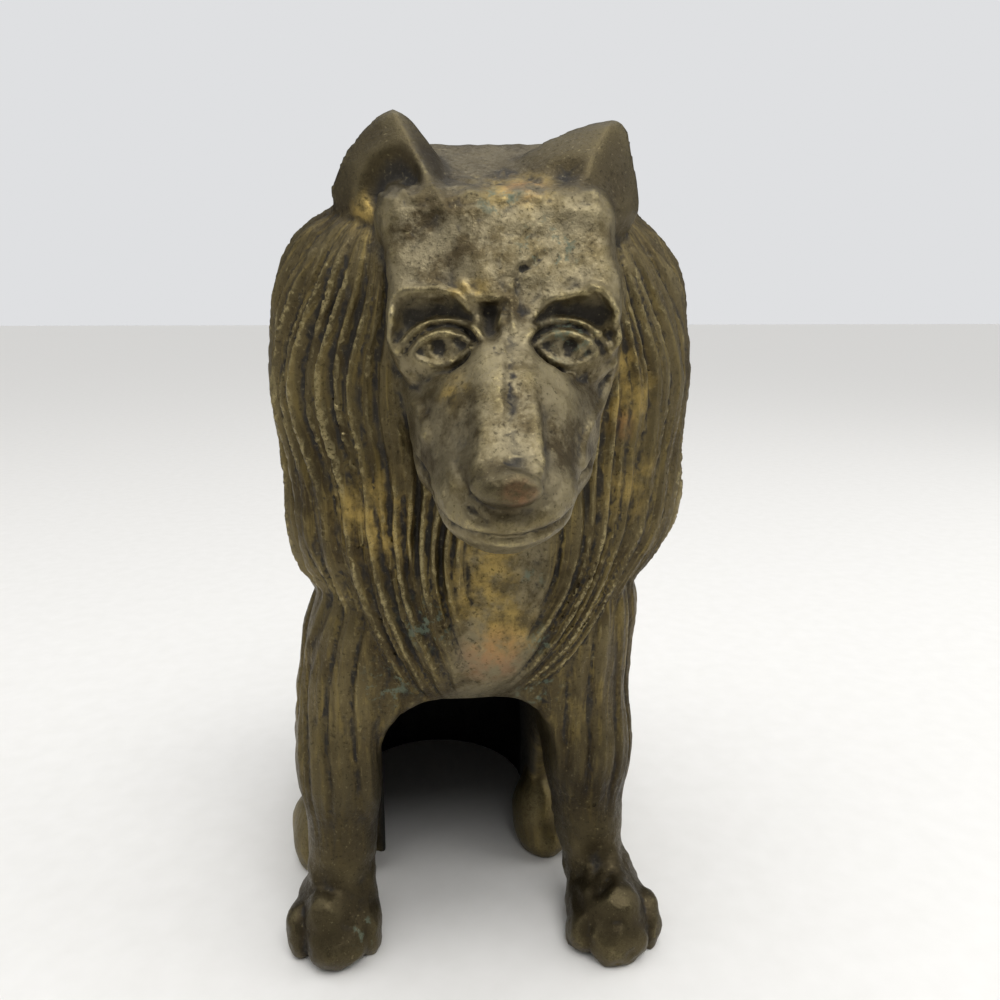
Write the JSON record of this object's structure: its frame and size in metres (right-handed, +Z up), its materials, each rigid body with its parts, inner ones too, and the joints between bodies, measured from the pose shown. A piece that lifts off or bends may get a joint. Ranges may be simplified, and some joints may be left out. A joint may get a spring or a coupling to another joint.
{
  "type": "collie dog figurine",
  "caption": "Small hollow-cast brass figure of a seated long-haired collie, open below and between the forelegs, for a shelf or desk.",
  "frame": {"origin": "centre of the bounding box on the floor plane, under the middle of the figure", "axes": "+Z up, the dog's nose towards -Y, the dog's left side towards +X"},
  "size_m": [0.0482, 0.077, 0.0897],
  "materials": {
    "brass": "aged brown patina with bare brass on the high spots"
  },
  "bodies": {
    "root": {"collie": "brass"}
  },
  "joints": []
}
